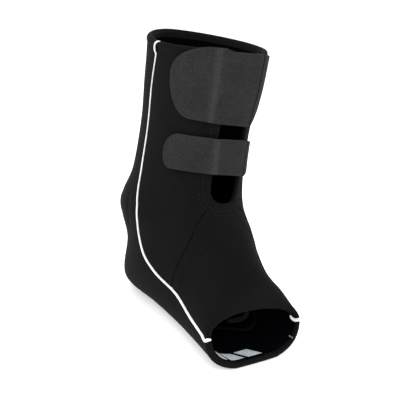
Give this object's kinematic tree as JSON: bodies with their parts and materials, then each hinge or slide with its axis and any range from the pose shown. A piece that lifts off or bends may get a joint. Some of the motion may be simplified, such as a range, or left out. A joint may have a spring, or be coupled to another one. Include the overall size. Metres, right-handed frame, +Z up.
{
  "type": "soft ankle brace",
  "caption": "Black neoprene ankle sleeve, open down the shin and at the toes, closed by hook-and-loop straps across the front, with pale piping down each side.",
  "frame": {"origin": "middle of the box round the brace, on the floor under the sole", "axes": "+Z up along the leg, toes towards -Y, heel towards +Y, X across the foot"},
  "size_m": [0.0856, 0.1597, 0.1975],
  "materials": {
    "neoprene": "knit-faced neoprene, matt black",
    "lining": "smooth jersey tape and lining, black with a blue tint",
    "strap": "napped loop tape, dark grey",
    "hook": "moulded hooks, black",
    "reflective": "reflective piping, silver white",
    "thread": "sewing thread, black",
    "print": "flat transfer print, pale grey"
  },
  "bodies": {
    "foot": {"heel_and_sole_panel": "neoprene", "left_side_panel_lower": "neoprene", "right_side_panel_lower": "neoprene", "instep_panel": "neoprene", "left_side_panel_flex": "neoprene", "right_side_panel_flex": "neoprene", "instep_panel_flex": "neoprene", "achilles_flex": "neoprene", "left_instep_seam": "thread", "right_instep_seam": "thread", "left_piping_toe_end": "reflective", "right_piping_toe_end": "reflective", "sole_lining": "lining", "sole_print": "print"},
    "leg": {"back_panel_upper": "neoprene", "left_side_panel_upper": "neoprene", "right_side_panel_upper": "neoprene", "rim_hem_tape": "lining", "rim_stitching": "thread", "left_piping": "reflective", "right_piping": "reflective", "left_piping_rim_end": "reflective", "right_piping_rim_end": "reflective", "keyhole_facing": "lining", "keyhole_stitching": "thread", "upper_strap_anchor": "strap", "upper_strap_stitching": "thread", "lower_strap_anchor": "strap", "lower_strap_stitching": "thread"},
    "upper_strap_base": {"upper_strap": "strap"},
    "upper_strap_end": {"upper_strap_tip": "strap", "upper_hook_patch": "hook"},
    "lower_strap_base": {"lower_strap": "strap"},
    "lower_strap_end": {"lower_strap_tip": "strap", "lower_hook_patch": "hook"}
  },
  "joints": [
    {"name": "ankle_flexion", "type": "hinge", "parent": "foot", "child": "leg", "pos_m": [0, 0.0185, 0.078], "axis": [1, 0, 0], "range_deg": [-25, 15], "stiffness_Nm_per_rad": 1.5, "deforming": ["left_side_panel_flex", "right_side_panel_flex", "instep_panel_flex", "achilles_flex", "left_piping", "right_piping", "left_instep_seam", "right_instep_seam", "keyhole_facing", "keyhole_stitching"]},
    {"name": "upper_strap_seam", "type": "hinge", "parent": "leg", "child": "upper_strap_base", "pos_m": [0.01824, -0.02209, 0.16591], "axis": [0.0391, -0.0897, 0.9952], "range_deg": [0, 110]},
    {"name": "upper_strap_fold", "type": "hinge", "parent": "upper_strap_base", "child": "upper_strap_end", "pos_m": [-0.01148, -0.02669, 0.16705], "axis": [-0.0231, -0.0884, 0.9958], "range_deg": [0, 70]},
    {"name": "lower_strap_seam", "type": "hinge", "parent": "leg", "child": "lower_strap_base", "pos_m": [0.01925, -0.01747, 0.11883], "axis": [-0.0383, -0.0373, 0.9986], "range_deg": [0, 110]},
    {"name": "lower_strap_fold", "type": "hinge", "parent": "lower_strap_base", "child": "lower_strap_end", "pos_m": [-0.01302, -0.02247, 0.12256], "axis": [0.0192, -0.0311, 0.9993], "range_deg": [0, 70]}
  ]
}
